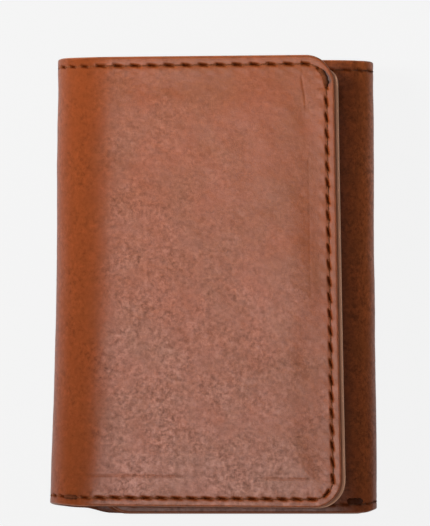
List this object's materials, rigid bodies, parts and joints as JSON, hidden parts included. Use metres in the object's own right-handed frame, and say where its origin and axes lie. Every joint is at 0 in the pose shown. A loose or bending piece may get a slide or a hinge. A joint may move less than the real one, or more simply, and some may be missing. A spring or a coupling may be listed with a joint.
{
  "type": "trifold wallet",
  "caption": "Closed trifold wallet in stitched brown leather, with card pockets, an identity card window and a bill compartment. Both folds open.",
  "frame": {"origin": "centre of the back panel's outer face, which the closed wallet lies on", "axes": "+X across the wallet from the left fold to the right fold, +Y up the panels to the open side of the bill compartment, +Z the thickness, from the back panel to the front flap"},
  "size_m": [0.08, 0.11, 0.021],
  "materials": {
    "cover_leather": "satin",
    "inner_leather": "satin",
    "lining_fabric": "matt woven",
    "thread": "waxed",
    "window_film": "clear glossy film"
  },
  "bodies": {
    "back_panel": {"cover_back": "cover_leather", "lining_back": "lining_fabric", "bill_divider_back": "inner_leather", "cover_thread_back": "thread", "id_window_film": "window_film", "id_window_frame": "inner_leather", "id_window_thread": "thread"},
    "left_fold_lower": {"cover_left_fold_lower": "cover_leather", "lining_left_fold_lower": "lining_fabric", "bill_divider_left_fold_lower": "inner_leather", "cover_thread_left_fold_lower": "thread"},
    "left_fold_upper": {"cover_left_fold_upper": "cover_leather", "lining_left_fold_upper": "lining_fabric", "bill_divider_left_fold_upper": "inner_leather", "cover_thread_left_fold_upper": "thread"},
    "front_flap": {"cover_front_flap": "cover_leather", "lining_front_flap": "lining_fabric", "bill_divider_front_flap": "inner_leather", "cover_thread_front_flap": "thread", "upper_card_pocket_front_flap": "inner_leather", "middle_card_pocket_front_flap": "inner_leather", "lower_card_pocket_front_flap": "inner_leather", "pocket_thread_front_flap": "thread"},
    "right_fold_lower": {"cover_right_fold_lower": "cover_leather", "lining_right_fold_lower": "lining_fabric", "bill_divider_right_fold_lower": "inner_leather", "cover_thread_right_fold_lower": "thread"},
    "right_fold_upper": {"cover_right_fold_upper": "cover_leather", "lining_right_fold_upper": "lining_fabric", "bill_divider_right_fold_upper": "inner_leather", "cover_thread_right_fold_upper": "thread"},
    "tucked_panel": {"cover_tucked_panel": "cover_leather", "lining_tucked_panel": "lining_fabric", "bill_divider_tucked_panel": "inner_leather", "cover_thread_tucked_panel": "thread", "upper_card_pocket_tucked_panel": "inner_leather", "middle_card_pocket_tucked_panel": "inner_leather", "lower_card_pocket_tucked_panel": "inner_leather", "pocket_thread_tucked_panel": "thread"}
  },
  "joints": [
    {"name": "left_fold_lower_hinge", "type": "hinge", "parent": "back_panel", "child": "left_fold_lower", "pos_m": [-0.03475, 0, 0.00141], "axis": [0, -1, 0], "range_deg": [0, 60]},
    {"name": "left_fold_middle_hinge", "type": "hinge", "parent": "left_fold_lower", "child": "left_fold_upper", "pos_m": [-0.04, 0, 0.0105], "axis": [0, -1, 0], "range_deg": [0, 60]},
    {"name": "left_fold_upper_hinge", "type": "hinge", "parent": "left_fold_upper", "child": "front_flap", "pos_m": [-0.03475, 0, 0.01959], "axis": [0, -1, 0], "range_deg": [0, 60]},
    {"name": "right_fold_lower_hinge", "type": "hinge", "parent": "back_panel", "child": "right_fold_lower", "pos_m": [0.03678, 0, 0.00086], "axis": [0, 1, 0], "range_deg": [0, 60]},
    {"name": "right_fold_middle_hinge", "type": "hinge", "parent": "right_fold_lower", "child": "right_fold_upper", "pos_m": [0.04, 0, 0.00645], "axis": [0, 1, 0], "range_deg": [0, 60]},
    {"name": "right_fold_upper_hinge", "type": "hinge", "parent": "right_fold_upper", "child": "tucked_panel", "pos_m": [0.03678, 0, 0.01204], "axis": [0, 1, 0], "range_deg": [0, 60]}
  ],
  "couplings": [
    {"joint": "left_fold_middle_hinge", "follows": "left_fold_lower_hinge", "ratio": 1},
    {"joint": "left_fold_upper_hinge", "follows": "left_fold_lower_hinge", "ratio": 1},
    {"joint": "right_fold_lower_hinge", "follows": "left_fold_lower_hinge", "ratio": 0.16667},
    {"joint": "right_fold_middle_hinge", "follows": "left_fold_lower_hinge", "ratio": 0.16667},
    {"joint": "right_fold_upper_hinge", "follows": "left_fold_lower_hinge", "ratio": 0.16667}
  ]
}
